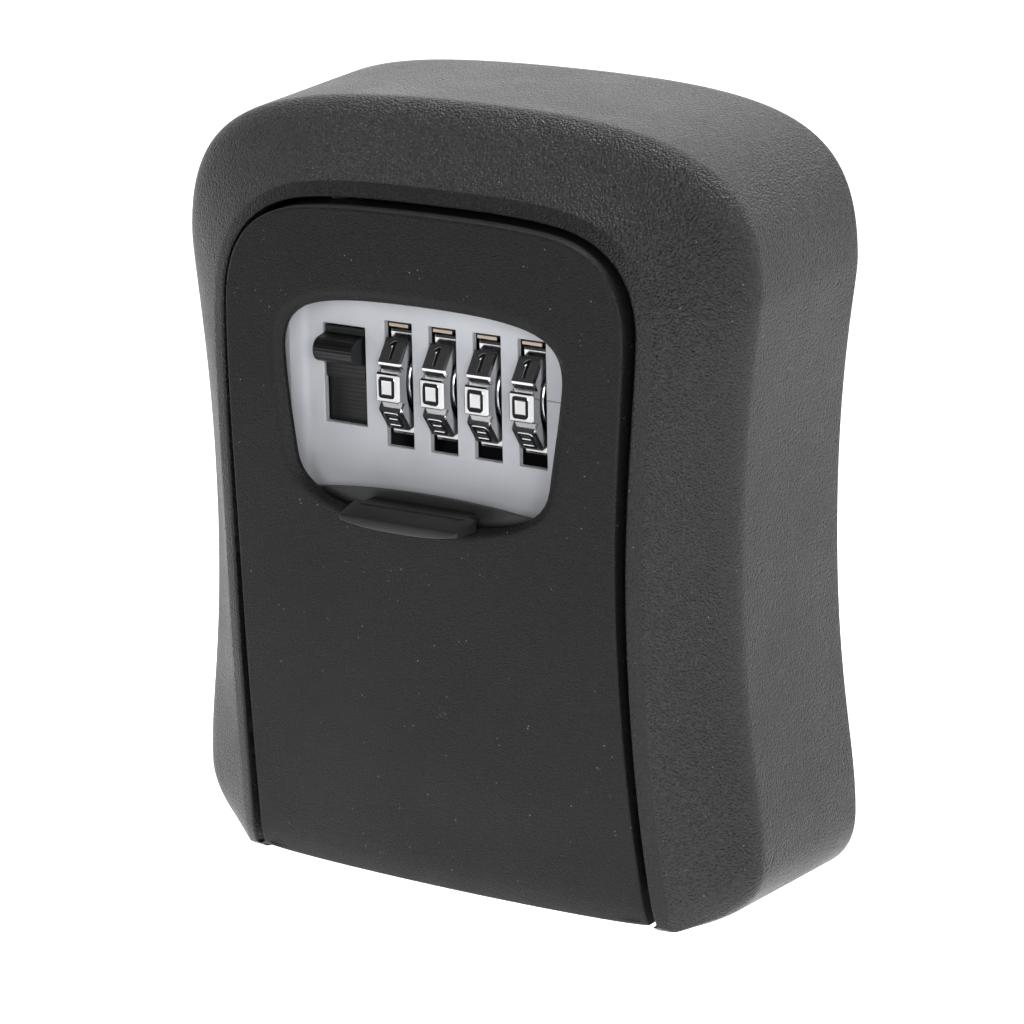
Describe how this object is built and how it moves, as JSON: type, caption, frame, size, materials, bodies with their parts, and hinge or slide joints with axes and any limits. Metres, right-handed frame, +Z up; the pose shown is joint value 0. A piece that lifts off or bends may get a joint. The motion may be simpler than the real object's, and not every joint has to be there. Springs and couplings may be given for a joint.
{
  "type": "key lock box",
  "caption": "Wall-mounted box that keeps keys behind a drop-down door, which carries a combination lock with number dials, an opening slider and a sliding weather shutter.",
  "frame": {"origin": "the middle of the flat back face that sits on the wall", "axes": "+X to the right seen from the front, +Y back into the wall, +Z up; the door faces -Y"},
  "size_m": [0.096, 0.0461, 0.1174],
  "materials": {
    "cast_shell": "coarse textured black powder coat",
    "door_cast": "fine satin black powder coat",
    "shutter_plastic": "satin black",
    "plate_plastic": "pale bluish grey, satin",
    "slider_plastic": "ribbed black",
    "case_plastic": "plain black",
    "steel": "zinc-plated",
    "chrome": "polished plating",
    "zinc": "bare zinc casting",
    "bronze": "spring bronze",
    "brass": "bare"
  },
  "bodies": {
    "housing": {"body_shell": "cast_shell", "hinge_pin": "steel"},
    "door": {"door_panel": "door_cast", "dial_plate": "plate_plastic", "lock_case": "case_plastic", "case_screw_1": "steel", "case_screw_2": "steel", "case_screw_3": "steel", "case_screw_4": "steel", "dial_axle": "steel", "axle_clip": "steel", "detent_comb": "bronze", "slider_spring": "steel"},
    "shutter": {"weather_shutter": "shutter_plastic"},
    "opener": {"open_slider": "slider_plastic", "latch_plate": "steel"},
    "reset": {"reset_lever": "brass"},
    "dial_1": {"dial_1": "chrome"},
    "sleeve_1": {"clutch_sleeve_1": "zinc"},
    "dial_2": {"dial_2": "chrome"},
    "sleeve_2": {"clutch_sleeve_2": "zinc"},
    "dial_3": {"dial_3": "chrome"},
    "sleeve_3": {"clutch_sleeve_3": "zinc"},
    "dial_4": {"dial_4": "chrome"},
    "sleeve_4": {"clutch_sleeve_4": "zinc"}
  },
  "joints": [
    {"name": "door_hinge", "type": "hinge", "parent": "housing", "child": "door", "pos_m": [0, -0.031, -0.0515], "axis": [1, 0, 0], "range_deg": [0, 100]},
    {"name": "shutter_slide", "type": "hinge", "parent": "door", "child": "shutter", "pos_m": [0, 0.3086, 0.0055], "axis": [-1, 0, 0], "range_deg": [0, 4.6]},
    {"name": "open_slide", "type": "slide", "parent": "door", "child": "opener", "axis": [0, 0, -1], "range_m": [0, 0.006], "stiffness_N_per_m": 180, "springref_m": -0.006, "deforming": ["slider_spring"]},
    {"name": "reset_slide", "type": "slide", "parent": "door", "child": "reset", "axis": [1, 0, 0], "range_m": [0, 0.0012]},
    {"name": "dial_1_turn", "type": "hinge", "parent": "door", "child": "dial_1", "pos_m": [-0.0069, -0.029, 0.0186], "axis": [1, 0, 0], "continuous": true},
    {"name": "sleeve_1_shift", "type": "slide", "parent": "dial_1", "child": "sleeve_1", "axis": [1, 0, 0], "range_m": [0, 0.0012]},
    {"name": "dial_2_turn", "type": "hinge", "parent": "door", "child": "dial_2", "pos_m": [0.0005, -0.029, 0.0186], "axis": [1, 0, 0], "continuous": true},
    {"name": "sleeve_2_shift", "type": "slide", "parent": "dial_2", "child": "sleeve_2", "axis": [1, 0, 0], "range_m": [0, 0.0012]},
    {"name": "dial_3_turn", "type": "hinge", "parent": "door", "child": "dial_3", "pos_m": [0.0079, -0.029, 0.0186], "axis": [1, 0, 0], "continuous": true},
    {"name": "sleeve_3_shift", "type": "slide", "parent": "dial_3", "child": "sleeve_3", "axis": [1, 0, 0], "range_m": [0, 0.0012]},
    {"name": "dial_4_turn", "type": "hinge", "parent": "door", "child": "dial_4", "pos_m": [0.0153, -0.029, 0.0186], "axis": [1, 0, 0], "continuous": true},
    {"name": "sleeve_4_shift", "type": "slide", "parent": "dial_4", "child": "sleeve_4", "axis": [1, 0, 0], "range_m": [0, 0.0012]}
  ],
  "couplings": [
    {"joint": "sleeve_1_shift", "follows": "reset_slide", "ratio": 1},
    {"joint": "sleeve_2_shift", "follows": "reset_slide", "ratio": 1},
    {"joint": "sleeve_3_shift", "follows": "reset_slide", "ratio": 1},
    {"joint": "sleeve_4_shift", "follows": "reset_slide", "ratio": 1}
  ]
}
